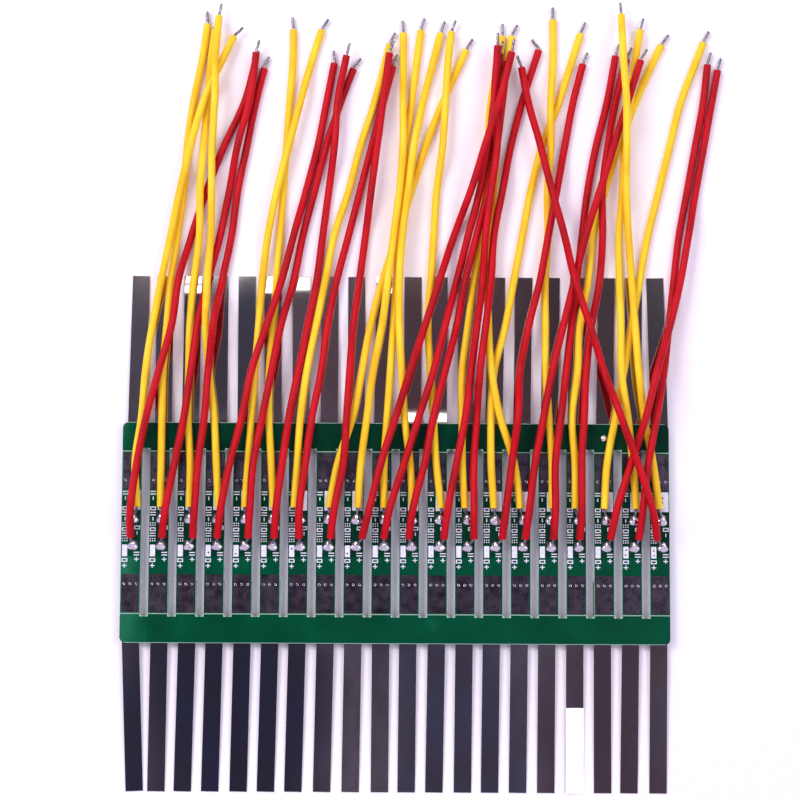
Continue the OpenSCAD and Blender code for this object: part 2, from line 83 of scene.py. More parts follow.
# %% The routes
yellow_leads = [
    [[-44.5, -45, -44, -43.5, -42.5, -41, -39.5, -38, -36, -34, -30.5, -27],
        [0, 0, 0, 0, 0, 1, 1, 1, 2, 1, 1, 0], 87.5],
    [[-40.5, -40.5, -40.5, -40.5, -40, -39.5, -38.5, -37.5, -37, -36, -34.5, -33.5],
        [0, 0, 0, 0, 0, 0, 0, 0, 0, 0, 0, 0], 90],
    [[-35.5, -35.5, -36, -36, -36, -35.5, -34.5, -34.5, -34, -33.5, -33, -32],
        [0, 0, 0, 0, 0, 0, 1, 1, 1, 0, 0, 0], 89],
    [[-30.5, -31, -31.5, -32.5, -33, -33, -32.5, -32.5, -32.5, -32, -32, -31.5],
        [0, 0, 0, 0, 2, 1, 1, 1, 1, 2, 2, 1], 91],
    [[-26, -25.5, -25, -24.5, -24, -23.5, -22.5, -21, -19, -17, -15, -12.5],
        [0, 0, 0, 0, 0, 0, 1, 1, 1, 1, 0, 0], 89],
    [[-21, -21.5, -22, -22, -21.5, -21, -20.5, -20, -19.5, -19, -18.5, -18.5],
        [0, 0, 0, 0, 0, 0, 0, 0, 0, 0, 0, 0], 89],
    [[-17.5, -17, -16.5, -15.5, -14, -12.5, -11, -8.5, -6.5, -4, -2, 0],
        [0, 0, 0, 0, 0, 0, 0, 0, 0, 0, 0, 0], 86.5],
    [[-11.5, -10, -7.5, -6, -4.5, -2.5, 0, 2.5, 5, 8, 11.5, 15],
        [0, 0, 0, 0, 0, 0, 0, 0, 0, 0, 0, 0], 85.5],
    [[-6.5, -6, -5, -4, -2.5, -1.5, -0.5, 0.5, 1, 1, 1, 1],
        [0, 0, 0, 0, 1, 2, 2, 2, 1, 1, 0, 0], 88.5],
    [[-2, -2, -1.5, -1, -0.5, 0, 0.5, 1, 1.5, 2.5, 3.5, 4.5],
        [0, 0, 0, 0, 0, 1, 1, 1, 0, 0, 0, 0], 89],
    [[3, 2.5, 1.5, 1, 0.5, 0.5, 1, 2, 3, 4.5, 6.5, 8.5],
        [0, 0, 0, 1, 1, 2, 2, 2, 1, 0, 0, 0], 88.5],
    [[8, 7, 6.5, 6, 5.5, 6, 6.5, 7, 8, 8.5, 9, 10],
        [0, 0, 0, 0, 0, 0, 0, 0, 1, 1, 1, 0], 88.5],
    [[12, 11.5, 11.5, 11.5, 12.5, 13.5, 15, 15.5, 16, 16.5, 18, 19],
        [0, 0, 0, 0, 0, 0, 0, 0, 0, 0, 0, 0], 88],
    [[17, 16.5, 16.5, 17, 19, 20.5, 22, 23.5, 25.5, 28.5, 31, 33.5],
        [0, 0, 0, 0, 0, 0, 0, 0, 0, 0, 0, 0], 88.5],
    [[21.5, 20.5, 18, 16.5, 16, 16, 16.5, 17, 17.5, 18, 19.5, 21],
        [0, 0, 1, 1, 1, 0, 0, 0, 0, 0, 0, 0], 88],
    [[27, 27, 26.5, 26, 26, 26, 26.5, 26.5, 27, 27, 27.5, 27.5],
        [0, 0, 0, 0, 0, 0, 0, 0, 1, 1, 0, 0], 91],
    [[31, 31, 30.5, 31.5, 32, 33.5, 34.5, 36.5, 39, 42, 45.5, 49.5],
        [0, 0, 0, 0, 0, 0, 0, 0, 0, 0, 0, 0], 86.5],
    [[36, 36.5, 38, 39.5, 41, 42.5, 44, 46, 48, 50, 53, 56],
        [0, 0, 0, 0, 0, 0, 0, 0, 0, 0, 0, 0], 87],
    [[41.5, 41, 40, 39, 39, 39, 39, 39.5, 40, 41, 42, 43.5],
        [0, 0, 1, 1, 1, 0, 0, 1, 1, 1, 1, 0], 89],
    [[45.5, 44.5, 43, 42, 41.5, 41, 40.5, 40, 40, 40, 39.5, 39.5],
        [0, 0, 0, 1, 1, 1, 1, 2, 3, 3, 3, 1], 91.5],
]
red_leads = [
    [[-45.5, -45.5, -44.5, -43, -41, -39, -38, -36, -33.5, -30.5, -27, -25, -23],
        [0, 1, 1, 1, 1, 1, 1, 0, 0, 0, 0, 0, 0], 83],
    [[-40.5, -39.5, -38, -36.5, -35.5, -34.5, -33, -31, -29.5, -28, -26, -25, -24.5],
        [0, 1, 1, 1, 1, 1, 0, 0, 0, 1, 1, 1, 0], 84.5],
    [[-35, -34.5, -34, -33, -32.5, -31.5, -30.5, -29, -28, -26.5, -25, -23, -20.5],
        [0, 1, 1, 1, 1, 3, 0, 0, 0, 0, 0, 0, 0], 82],
    [[-31, -30, -28.5, -26.5, -25, -22.5, -20, -18, -16, -14, -12.5, -11, -9.5],
        [0, 1, 1, 1, 1, 1, 1, 1, 0, 0, 0, 0, 0], 83],
    [[-25.5, -25, -24.5, -23, -21.5, -20, -18, -16.5, -14.5, -12.5, -10, -7, -3.5],
        [0, 1, 1, 1, 1, 1, 0, 0, 0, 0, 0, 0, 0], 82],
    [[-21, -20.5, -19.5, -18.5, -17, -15.5, -14, -13, -12, -11, -10.5, -9, -7.5],
        [0, 1, 1, 0, 0, 0, 0, 0, 0, 1, 1, 1, 0], 84],
    [[-16.5, -16.5, -15.5, -14.5, -13, -12, -10.5, -8.5, -6.5, -4.5, -2.5, -0.5, 1],
        [0, 1, 1, 0, 0, 0, 0, 0, 0, 0, 0, 0, 0], 82.5],
    [[-11.5, -10.5, -9, -8.5, -8, -7.5, -6.5, -5.5, -4.5, -3.5, -2.5, -1.5, -0.5],
        [0, 1, 1, 1, 1, 0, 0, 0, 1, 1, 1, 1, 1], 84.5],
    [[-6.5, -4.5, -2.5, 0, 2.5, 5, 7.5, 10, 13, 15.5, 18, 20, 22],
        [0, 1, 1, 1, 2, 1, 1, 0, 2, 3, 3, 3, 1], 84],
    [[-2.5, -1, 1.5, 4, 6.5, 8.5, 10.5, 12.5, 14.5, 16, 17, 18, 19],
        [0, 1, 1, 1, 1, 1, 0, 1, 1, 1, 1, 1, 1], 84.5],
    [[2, 3, 5, 6.5, 8.5, 10.5, 12, 14, 16, 17.5, 18.5, 19.5, 21],
        [0, 1, 1, 1, 1, 0, 1, 1, 1, 1, 1, 1, 0], 83],
    [[8, 9, 10.5, 12, 13, 14, 15, 15.5, 16.5, 17.5, 17, 17.5, 18],
        [0, 1, 1, 1, 1, 2, 1, 2, 2, 2, 2, 2, 2], 85.5],
    [[13.5, 13.5, 13.5, 14, 14.5, 15.5, 16.5, 17, 18.5, 20, 22, 24.5, 27],
        [0, 1, 0, 0, 2, 2, 1, 1, 1, 0, 0, 0, 0], 85.5],
    [[18, 19, 20, 21, 21.5, 23, 25, 26.5, 28, 29.5, 31, 33, 34.5],
        [0, 1, 1, 2, 0, 1, 1, 1, 1, 0, 0, 0, 0], 83],
    [[22, 23, 24, 25.5, 27, 29, 31, 33, 35.5, 38, 40.5, 43, 45],
        [0, 1, 1, 1, 1, 1, 1, 2, 2, 2, 2, 2, 0], 83],
    [[27, 27.5, 27.5, 28.5, 29.5, 30.5, 31.5, 32.5, 33.5, 35, 37, 38.5, 40],
        [0, 1, 1, 1, 0, 0, 0, 0, 0, 0, 0, 0, 0], 84.5],
    [[31.5, 32, 32, 32.5, 33, 34, 35.5, 36, 36, 37, 38.5, 40.5, 43],
        [0, 1, 1, 1, 0, 0, 0, 1, 1, 1, 0, 0, 0], 84],
    [[36.5, 38, 40.5, 43, 45, 47.5, 49.5, 51, 52.5, 54, 55.5, 57, 58.5],
        [0, 1, 1, 2, 2, 1, 1, 1, 0, 0, 0, 0, 0], 82],
    [[41.5, 42.5, 43.5, 45, 46.5, 47.5, 48.5, 49.5, 51, 52.5, 54, 55, 56.5],
        [0, 1, 1, 1, 0, 0, 0, 0, 0, 0, 0, 0, 0], 83],
    [[45.5, 44, 41.5, 38.5, 36, 33.5, 31, 29, 27, 25, 23, 21.5, 20],
        [0, 2, 2, 3, 1, 2, 2, 3, 2, 2, 1, 1, 0], 82],
]
station_gap = 8
yellow_stations, yellow_start = 4, 4.3
red_stations, red_start = -4, -1
lead_d, layer_h = 1.3, 1.45
pad_top, rail_edge, slope_end = 1.95, 19, 52
print("leads:", len(yellow_leads), "yellow and", len(red_leads), "red")


# %% From a route to points
def smooth(values, t):
    """A curve through evenly spaced values, at t counted in stations."""
    i = min(math.floor(t), len(values) - 2)
    u, b, c = t - i, values[i], values[i + 1]
    a = values[i - 1] if i > 0 else 2 * b - c
    d = values[i + 2] if i < len(values) - 2 else 2 * c - b
    cubic = (3 * b - a - 3 * c + d) * u ** 3 + (2 * a - 5 * b + 4 * c - d) * u ** 2
    return (cubic + (c - a) * u + 2 * b) / 2


def ease(u):
    w = max(0, min(1, u))
    return w * w * (3 - 2 * w)


def lead_point(lead, first, y):
    """The lead's middle at y, in millimetres: on the boards, and past the rail down to the table."""
    places, layers, _ = lead
    t = (y - first) / station_gap
    i = min(math.floor(t), len(layers) - 2)
    layer = layers[i] + (layers[i + 1] - layers[i]) * ease(t - i)
    bed = pad_top * (1 - ease((y - rail_edge) / (slope_end - rail_edge)))
    return Vector((smooth(places, t), y, bed + lead_d / 2 + layer_h * layer))


def lead_points(lead, first, start, gap=2.5):
    count = math.ceil((lead[2] - start) / gap)
    return [lead_point(lead, first, start + (lead[2] - start) * k / count) for k in range(count + 1)]


def length_of(points):
    return sum((b - a).length for a, b in zip(points, points[1:]))


yellow_paths = [lead_points(lead, yellow_stations, yellow_start) for lead in yellow_leads]
red_paths = [lead_points(lead, red_stations, red_start) for lead in red_leads]
lengths = [length_of(path) for path in yellow_paths + red_paths]
print("insulated lengths:", round(min(lengths), 1), "to", round(max(lengths), 1), "mm")

# %% [markdown]
# ## The insulation
#
# The insulation is an extruded sleeve of soft PVC, cut square at both ends. A curve with a round bevel is
# that sleeve, and its line stays the lead's middle line, which is also how its length is measured.


# %% A sleeve along a path
def select_only(piece):
    """Selects one object, because an operator acts on all that is selected."""
    bpy.ops.object.select_all(action="DESELECT")
    piece.select_set(True)
    bpy.context.view_layer.objects.active = piece
    return piece


def made_mesh(name, data):
    """A curve as a mesh object of that name."""
    piece = bpy.data.objects.new(name, data)
    bpy.context.scene.collection.objects.link(piece)
    select_only(piece)
    bpy.ops.object.convert(target="MESH")
    return bpy.context.object


def curve_along(name, path, diameter, sides_level=3):
    """A round curve object through points in millimetres, with closed ends."""
    data = bpy.data.curves.new(name, "CURVE")
    data.dimensions = "3D"
    data.resolution_u, data.bevel_resolution = 4, sides_level
    data.bevel_depth, data.use_fill_caps = diameter / 2 * mm, True
    spline = data.splines.new("BEZIER")
    spline.bezier_points.add(len(path) - 1)
    for point, place in zip(spline.bezier_points, path):
        point.co = place * mm
        point.handle_left_type = point.handle_right_type = "AUTO"
    return made_mesh(name, data)


# %% [markdown]
# ## Tinned tips
#
# At its free end each lead shows 2 mm of its strands, twisted and dipped in tin so that they hold
# together. Seven strands leave a lobed outline that turns as it goes along. A curve takes a flat outline
# as its section and a tilt at each point, which is exactly a twist, and is then made a mesh.

# %% The section of seven strands
strand_d = 0.16
core_d = 0.5


def strand_outline():
    """The outline of six strands around a seventh, as a flat curve used as a section."""
    data = bpy.data.curves.new("strand_outline", "CURVE")
    data.dimensions = "2D"
    spline = data.splines.new("POLY")
    count = 24
    spline.points.add(count - 1)
    for k, point in enumerate(spline.points):
        turn = 2 * math.pi * k / count
        reach = (core_d / 2 - strand_d * 0.28 * (0.5 - 0.5 * math.cos(6 * turn))) * mm
        point.co = (reach * math.cos(turn), reach * math.sin(turn), 0, 1)
    spline.use_cyclic_u = True
    outline = bpy.data.objects.new("strand_outline", data)
    bpy.context.scene.collection.objects.link(outline)
    return outline


section = strand_outline()
twist_per_mm = math.radians(70)


def wire_along(name, path, thin_end=0.55):
    """A twisted wire through points in millimetres, made a mesh. Its last point is narrowed."""
    data = bpy.data.curves.new(name, "CURVE")
    data.dimensions = "3D"
    data.resolution_u = 3
    data.bevel_mode, data.bevel_object, data.use_fill_caps = "OBJECT", section, True
    spline = data.splines.new("BEZIER")
    spline.bezier_points.add(len(path) - 1)
    gone = 0
    for k, (point, place) in enumerate(zip(spline.bezier_points, path)):
        gone += (place - path[max(k - 1, 0)]).length
        point.co = place * mm
        point.handle_left_type = point.handle_right_type = "AUTO"
        point.tilt = gone * twist_per_mm
        point.radius = thin_end if k == len(path) - 1 else 1
    return made_mesh(name, data)


# %% The free tips
tip_l = 2.3
yellow_bends = [20, -8, 5, 6, 12, -4, 10, 6, -3, 8, 4, 10, -6, 5, 14, 0, 8, 6, 4, -5]
red_bends = [4, 8, 6, -14, 12, 2, 6, 10, -4, 6, 14, -3, -48, 8, 12, 6, 10, 4, 8, -10]


def tip_path(path, bend):
    """From just inside the sleeve, out in line with the lead, and bent sideways by some degrees."""
    end, way = path[-1], (path[-1] - path[-2]).normalized()
    turned = Matrix.Rotation(-math.radians(bend), 3, "Z") @ way
    flat = Vector((turned.x, turned.y, 0)).normalized()
    return [end - 0.4 * way, end, end + 0.25 * tip_l * (way + flat) / 2, end + 0.6 * tip_l * flat,
            end + 0.97 * tip_l * flat, end + tip_l * flat]


# %% Making the leads
leads = {}
for colour, paths, bends in (("yellow", yellow_paths, yellow_bends), ("red", red_paths, red_bends)):
    for number, (path, bend) in enumerate(zip(paths, bends), 1):
        name = f"{colour}_lead_{number:02d}"
        sleeve = curve_along(f"{colour}_sleeve_{number:02d}", path, lead_d)
        tip = wire_along(f"{colour}_strands_{number:02d}", tip_path(path, bend))
        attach(sleeve, "root")
        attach(tip, "root")
        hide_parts(name)
        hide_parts(f"{colour}_tips")
        leads[name] = (sleeve, tip)
print("made", len(leads), "leads")

# %% [markdown]
# ## Modelling helpers
#
# What repeats on the panel is modelled once, at the panel's middle, and then copied to its places. The
# copies are joined, so each group of like pieces is one mesh, as it is one node in the CAD model.


# %% Boards, copies and joins
pieces = {}
pitch, board_count = 4.8, 20
board_l, panel_l = 28, 38
board_bottom, board_top = 1.1, 1.9
boards = [pitch * (i - (board_count - 1) / 2) for i in range(board_count)]


def joined(pieces, name):
    """Joins mesh objects as one of that name."""
    select_only(pieces[0])
    for piece in pieces:
        piece.select_set(True)
    bpy.ops.object.join()
    bpy.context.object.name = name
    return bpy.context.object


def copied(piece, place):
    """A copy with its own mesh, moved by a matrix in the mesh itself."""
    copy = piece.copy()
    copy.data = piece.data.copy()
    copy.data.transform(place)
    bpy.context.scene.collection.objects.link(copy)
    return copy


def move(x, y, z=0):
    return Matrix.Translation(Vector((x, y, z)) * mm)


def turn(degrees, axis="Z"):
    return Matrix.Rotation(math.radians(degrees), 4, axis)


def on_boards(piece, name):
    """Copies a piece modelled at X = 0 to every board, and removes the first one."""
    copies = [copied(piece, move(x, 0)) for x in boards]
    bpy.data.objects.remove(piece)
    return joined(copies, name)


def place_in_mesh(piece):
    """Puts the object back at the origin, with its place in its mesh."""
    select_only(piece)
    bpy.ops.object.transform_apply(location=True, rotation=True, scale=True)
    return piece


def apply_modifiers(piece):
    select_only(piece)
    for modifier in list(piece.modifiers):
        bpy.ops.object.modifier_apply(modifier=modifier.name)
    return piece


def bevel(piece, width, segments=2):
    """Rounds every edge sharper than 30 degrees by a width in millimetres."""
    modifier = piece.modifiers.new("rounded_edges", "BEVEL")
    modifier.width, modifier.segments = width * mm, segments
    modifier.limit_method, modifier.angle_limit = "ANGLE", math.radians(30)
    return apply_modifiers(piece)


def select_where(piece, kind, test):
    """In edit mode, selects the vertices, edges or faces whose middle passes a test, in millimetres."""
    bpy.ops.mesh.select_mode(type=kind)
    bpy.ops.mesh.select_all(action="DESELECT")
    bpy.ops.object.mode_set(mode="OBJECT")
    mesh = piece.data
    points = [v.co / mm for v in mesh.vertices]
    for item in {"VERT": mesh.vertices, "EDGE": mesh.edges, "FACE": mesh.polygons}[kind]:
        corners = [item.index] if kind == "VERT" else item.vertices
        item.select = test(sum((points[i] for i in corners), Vector()) / len(corners))
    bpy.ops.object.mode_set(mode="EDIT")


def root_piece(piece, slot, *replaced):
    """Declares a finished piece: it belongs to the one body and takes its finish from a slot."""
    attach(piece, "root")
    if replaced:
        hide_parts(*replaced)
    pieces[piece.name] = slot
    print(piece.name, len(piece.data.polygons), "faces")
    return piece

# %% [markdown]
# ## Nickel strips
#
# The strips are punched from thin nickel-plated steel and soldered under the battery pads. A real strip is
# never quite flat: handling leaves it with a slight twist and a slight wave, and because it shines, that is
# the first thing one sees. So one strip is made by extruding its end edge many times, which gives rows to
# bend, and each copy is then bent by a few numbers of its own.

# %% One straight strip
strip_w, strip_t, strip_start, strip_z = 3, 0.15, 8.25, 0.85
minus_reach, plus_reach = 25.9, 25.3
strip_tip = panel_l / 2 + plus_reach
strip_row = 0.5
strip_rows = round((strip_tip - strip_start) / strip_row)

bpy.ops.object.select_all(action="DESELECT")
bpy.ops.mesh.primitive_grid_add(x_subdivisions=4, y_subdivisions=1, size=1)
flat_strip = bpy.context.object
flat_strip.scale = (strip_w * mm, (strip_tip - strip_start) / strip_rows * mm, 1)
flat_strip.location = (0, flat_strip.scale.y / 2, 0)
place_in_mesh(flat_strip)
row = max(v.co.y for v in flat_strip.data.vertices) / mm
bpy.ops.object.mode_set(mode="EDIT")
select_where(flat_strip, "EDGE", lambda p: p.y > row * 0.99)
for k in range(strip_rows - 1):
    bpy.ops.mesh.extrude_region_move(TRANSFORM_OT_translate={"value": (0, row * mm, 0)})
bpy.ops.object.mode_set(mode="OBJECT")
thickness = flat_strip.modifiers.new("thickness", "SOLIDIFY")
thickness.thickness, thickness.offset = strip_t * mm, 1
apply_modifiers(flat_strip)
bevel(flat_strip, 0.02, 1)
print("strip rows:", strip_rows, "faces:", len(flat_strip.data.polygons))

# %% [markdown]
# The table below holds, for each strip, how far it sits off its board's middle, its lean in the plane, its
# twist along the outer part, how much it dips just past the rail, and how much it curls at the tip.

# %% Bending the strips
rail_edge_s, board_end_s = panel_l / 2 - strip_start, board_l / 2 - strip_start
board_w = 3.4


def strip_height(t, reach, dip, curl):
    """Height of the underside, t millimetres past the rail."""
    if t <= 0:
        return strip_z
    straight = strip_z - strip_z / (reach - 1) * (t * t / 4 if t < 2 else t - 1)
    fall = 1 - (1 - min(1, t / 4)) ** 2
    dipped = dip * (fall - ease((t - 5) / (reach - 8)))
    curled = curl * (ease((t - reach + 9) / 6) - ease((t - reach + 3) / 3))
    return max(0, straight - dipped) + curled


def bend_strip(strip, reach, twist, kink_at, dip, curl, tuck):
    """Bends a flat strip. The twist is in degrees, and is reached along the strip or at once at a kink."""
    for v in strip.data.vertices:
        x, s, z = v.co / mm
        x -= tuck * (1 - ease((s - board_end_s) / (rail_edge_s - board_end_s)))
        t = s - rail_edge_s
        if t > 0:
            t *= reach / plus_reach
            s = rail_edge_s + t
        if kink_at is None:
            share = ease(t / 20)
            raised = share
        else:
            share = 1 if t > kink_at else 0
            s -= 0.4 * (0 < t - kink_at < strip_row)
            raised = max(0, (t - kink_at) / (25 - kink_at))
        angle = math.radians(twist * share)
        height = strip_height(t, reach, dip, curl) + raised * strip_w / 2 * abs(math.sin(math.radians(twist)))
        v.co = Vector((x * math.cos(angle) + z * math.sin(angle), s,
                       height + z * math.cos(angle) - x * math.sin(angle))) * mm


def strips(side, name, reach, rows):
    """The twenty strips of one side, bent and turned into place."""
    made = []
    for x, (shift, lean, twist, kink_at, dip, curl) in zip(boards, rows):
        strip = copied(flat_strip, Matrix())
        off = shift + board_end_s * math.sin(math.radians(lean))
        tuck = side * max(0, abs(off) + (strip_w - board_w) / 2)
        bend_strip(strip, reach, twist, kink_at, dip, curl, tuck)
        place = move(x + shift, side * strip_start) @ turn(-side * lean)
        strip.data.transform(place if side > 0 else place @ turn(180))
        made.append(strip)
    group = joined(made, name)
    bpy.ops.object.shade_smooth_by_angle(angle=math.radians(4))
    return group


plus_rows = [
    (-0.3, 2.2, -0.6, None, 0, 0), (0.3, -0.5, 0.1, None, 0, 0), (0.4, -1.1, 0, None, 0, 0),
    (0.3, -1.1, 0.1, None, 0, 0), (0.3, -1, -0.1, None, 0, 0), (0.3, -1.2, 0, None, 0, 0),
    (0.2, -1.2, 0.1, None, 0, 0), (0.2, -1, 0, None, 0, 0), (0.1, -0.7, 0, None, 0, 0),
    (0, -0.2, 0.2, None, 0, 0), (-0.1, -0.4, 0.1, None, 0, 0), (0.1, -0.8, 0.1, None, 0, 0),
    (0, -0.5, 0.1, None, 0, 0), (-0.1, -0.6, 0.5, None, 0, 0), (-0.1, -0.6, 0.3, None, 0, 0),
    (-0.2, -0.4, -0.3, None, 0, 0), (-0.2, -0.2, -6, 10.8, 0, 0), (-0.3, 0, 0, None, 0, 0),
    (-0.1, -0.8, 0, None, 0, 0), (-0.1, -0.5, 0.2, None, 0, 0),
]
minus_rows = [
    (0.4, 0.7, 0, None, 0, 0), (0.4, -0.2, 0.3, None, 0.1, 0), (0.2, 0.3, 0.3, None, 0.15, 0.2),
    (0.4, -0.2, 0.2, None, 0.15, 0), (0.4, -0.3, -0.2, None, 0.1, 0), (0.4, -0.7, 0.3, None, 0.1, 0.2),
    (0.3, -0.2, 0.2, None, 0, 0.05), (0.4, 0, 0.2, None, 0, 0), (0.3, -0.1, 0.1, None, 0, 0),
    (0, 0.6, 0.3, None, 0, 0.25), (0.4, 0.2, 0, None, 0.3, 0), (0.1, 0.3, 0, None, 0.3, 0),
    (0.2, 0.3, -0.1, None, 0.1, 0), (0, 1.2, 0.1, None, 0, 0), (0.1, 1, 0, None, 0, 0),
    (0.1, 1, -0.2, None, 0, 0), (-0.1, 1.3, -0.1, None, 0, 0), (0, 1.5, -0.1, None, 0.05, 0),
    (0.2, 0.9, -0.1, None, 0, 0), (0.4, -1.1, 0, None, 0, 0),
]
root_piece(strips(-1, "plus_nickel_strips", plus_reach, plus_rows), "nickel", "plus_strips")
root_piece(strips(1, "minus_nickel_strips", minus_reach, minus_rows), "nickel", "minus_strips")
bpy.data.objects.remove(flat_strip)

# %% [markdown]
# ## Solder joints
#
# Each lead's bare core is soldered to its pad by hand. The solder wets the whole pad and is drawn up along
# the wire, so the joint is a shallow mound with a ridge towards the lead. A sphere is cut in half and
# pulled into that shape, and a cloud texture makes every copy a little different.

# %% One joint
pad_x, joint_y = 0.45, 2.3
pad_w, pad_l = 1.6, 1.8

bpy.ops.object.select_all(action="DESELECT")
bpy.ops.mesh.primitive_uv_sphere_add(segments=24, ring_count=16, radius=1)
joint = bpy.context.object
joint.scale = (pad_w * 0.56 * mm, pad_l * 0.54 * mm, 0.85 * mm)
place_in_mesh(joint)
bpy.ops.object.mode_set(mode="EDIT")
bpy.ops.mesh.select_all(action="SELECT")
bpy.ops.mesh.bisect(plane_co=(0, 0, 0), plane_no=(0, 0, 1), use_fill=True, clear_inner=True)
select_where(joint, "VERT", lambda p: p.z > 0.5)
bpy.ops.transform.resize(value=(1, 1, 0.5), center_override=(0, 0, 0.5 * mm))
select_where(joint, "VERT", lambda p: p.y < -0.4)
bpy.ops.transform.resize(value=(1.25, 1, 1), center_override=(0, 0, 0), use_proportional_edit=True,
                         proportional_size=0.5 * mm, proportional_edit_falloff="SMOOTH")
select_where(joint, "VERT", lambda p: p.y > 0.1 and abs(p.x) < 0.35 and p.z > 0.15)
bpy.ops.transform.translate(value=(0, 0.05 * mm, 0.16 * mm), use_proportional_edit=True,
                            proportional_size=0.4 * mm, proportional_edit_falloff="SMOOTH")
select_where(joint, "VERT", lambda p: p.y > 0.3)
bpy.ops.transform.resize(value=(0.72, 1, 1), center_override=(0, 0, 0), use_proportional_edit=True,
                         proportional_size=0.6 * mm, proportional_edit_falloff="SMOOTH")
bpy.ops.object.mode_set(mode="OBJECT")
print("joint:", [round(v / mm, 2) for v in joint.dimensions], "mm")

# %% Twenty joints on each row of pads
lumps = bpy.data.textures.new("solder_lumps", "CLOUDS")
lumps.noise_scale, lumps.noise_depth = 0.9 * mm, 1


def joints(name, y, node):
    random.seed(name)
    made = []
    for x in boards:
        size = random.uniform(0.9, 1.06)
        place = (move(x + pad_x + random.uniform(-0.06, 0.06), y, pad_top)
                 @ turn(random.uniform(-12, 12))
                 @ Matrix.Diagonal((size, random.uniform(0.92, 1.02), random.uniform(0.85, 1.15), 1)))
        made.append(copied(joint, place))
    group = joined(made, name)
    lumpy = group.modifiers.new("lumps", "DISPLACE")
    lumpy.texture, lumpy.texture_coords, lumpy.strength = lumps, "GLOBAL", 0.12 * mm
    apply_modifiers(group)
    for v in group.data.vertices:
        v.co.z = max(v.co.z, (pad_top + 0.001) * mm)
    bpy.ops.object.shade_smooth_by_angle(angle=math.radians(60))
    return root_piece(group, "solder", node)


joints("minus_lead_joints", joint_y, "minus_lead_solder")
joints("plus_lead_joints", -joint_y, "plus_lead_solder")
bpy.data.objects.remove(joint)

# %% [markdown]
# ## Bare cores
#
# Between the insulation and the solder the twisted core shows. It leaves the sleeve level and dips into
# the joint. The same twisted wire as at the tips does it, a little bent on every board.

# %% The cores
cores = []
for i, x in enumerate(boards):
    for path, y in ((yellow_paths[i], joint_y), (red_paths[i], -joint_y)):
        way = (path[1] - path[0]).normalized()
        end = Vector((x + pad_x, y, pad_top + 0.3))
        middle = (path[0] + end) / 2 + Vector((0, 0, 0.1))
        cores.append(wire_along("core", [path[0] + 0.5 * way, path[0], middle, end], 0.9))
root_piece(joined(cores, "twisted_cores"), "tinned_core", "lead_cores")

# %% [markdown]
# ## Plated holes
#
# Three plated holes join each battery pad to its twin on the other face. Tin stands up a little around
# each one as a bright rim. A ring of this section is a flattened torus.

# %% Rims of the plated holes
bpy.ops.object.select_all(action="DESELECT")
bpy.ops.mesh.primitive_torus_add(major_segments=16, minor_segments=6, major_radius=0.19 * mm,
                                 minor_radius=0.04 * mm)
rim = bpy.context.object
bpy.ops.object.mode_set(mode="EDIT")
bpy.ops.mesh.select_all(action="SELECT")
bpy.ops.transform.resize(value=(1, 1, 0.7))
bpy.ops.object.mode_set(mode="OBJECT")
bpy.ops.object.shade_smooth()
via_y, via_pitch = 8.95, 1.05
rims = []
for z in (pad_top, board_bottom - 0.05):
    for side in (-1, 1):
        for k in (-1, 0, 1):
            rims.append(copied(rim, move(k * via_pitch, side * via_y, z)))
bpy.data.objects.remove(rim)
root_piece(on_boards(joined(rims, "rims"), "plated_hole_rims"), "solder")

# %% [markdown]
# ## White print
#
# The legend is screen printed: an even layer of white ink with round corners. On this part it is bare of
# words. A narrow column of bars, dots and small frames stands where a board has its line of print, with
# plus and minus signs at the pads and two solid boxes.

# %% A printed field
print_t = 0.03


def add_field(x, y, w, l):
    """In edit mode, adds a flat printed field with its middle at x, y."""
    bpy.ops.mesh.primitive_plane_add(size=1, location=(x * mm, y * mm, board_top * mm))
    bpy.ops.transform.resize(value=(w * mm, l * mm, 1), center_override=(x * mm, y * mm, 0))


def frame_at(x, y, w, l, line):
    """A hollow frame, as four bars."""
    for side in (-1, 1):
        add_field(x + side * (w - line) / 2, y, line, l)
        add_field(x, y + side * (l - line) / 2, w - 2 * line, line)


def bars(x, y):
    """Two short bars side by side."""
    for side in (-1, 1):
        add_field(x, y + side * 0.22, 1.02, 0.17)


def dots(x, y):
    for k in (-1, 0, 1):
        for side in (-1, 1):
            add_field(x + k * 0.38, y + side * 0.19, 0.2, 0.2)


def box_outline(x, y):
    frame_at(x, y, 1.0, 0.66, 0.17)


def minus(x, y):
    add_field(x, y, 0.17, 0.6)


def plus(x, y):
    add_field(x, y, 0.16, 0.74)
    for side in (-1, 1):
        add_field(x + side * 0.24, y, 0.32, 0.16)


# %% The print of one board
print_boxes = [(0.65, 5.5, 1.8, 3.4), (-1.05, -3.2, 0.9, 2)]
column_x, column_start, column_step = -1.05, 4.05, 0.9
column = [box_outline, bars, minus, dots, box_outline, bars, dots]

bpy.ops.object.select_all(action="DESELECT")
bpy.ops.mesh.primitive_plane_add(size=1)
legend = bpy.context.object
bpy.ops.object.mode_set(mode="EDIT")
bpy.ops.mesh.delete(type="VERT")
for box in print_boxes:
    add_field(*box)
for k, mark in enumerate(column):
    mark(column_x, column_start - k * column_step)
for x, y, mark, sign in ((-1.05, 6.75, bars, minus), (-1.05, -4.85, box_outline, plus),
                         (1.05, 0.75, box_outline, minus), (1, -3.75, bars, plus)):
    mark(x, y)
    sign(x, y - 0.95)
bpy.ops.mesh.select_all(action="SELECT")
bpy.ops.mesh.bevel(offset=0.05 * mm, segments=2, affect="VERTICES")
bpy.ops.mesh.select_all(action="SELECT")
bpy.ops.mesh.extrude_region_move(TRANSFORM_OT_translate={"value": (0, 0, print_t * mm)})
bpy.ops.mesh.select_all(action="SELECT")
bpy.ops.mesh.normals_make_consistent(inside=False)
bpy.ops.object.mode_set(mode="OBJECT")
root_piece(on_boards(legend, "screen_print"), "white_print", "white_print")

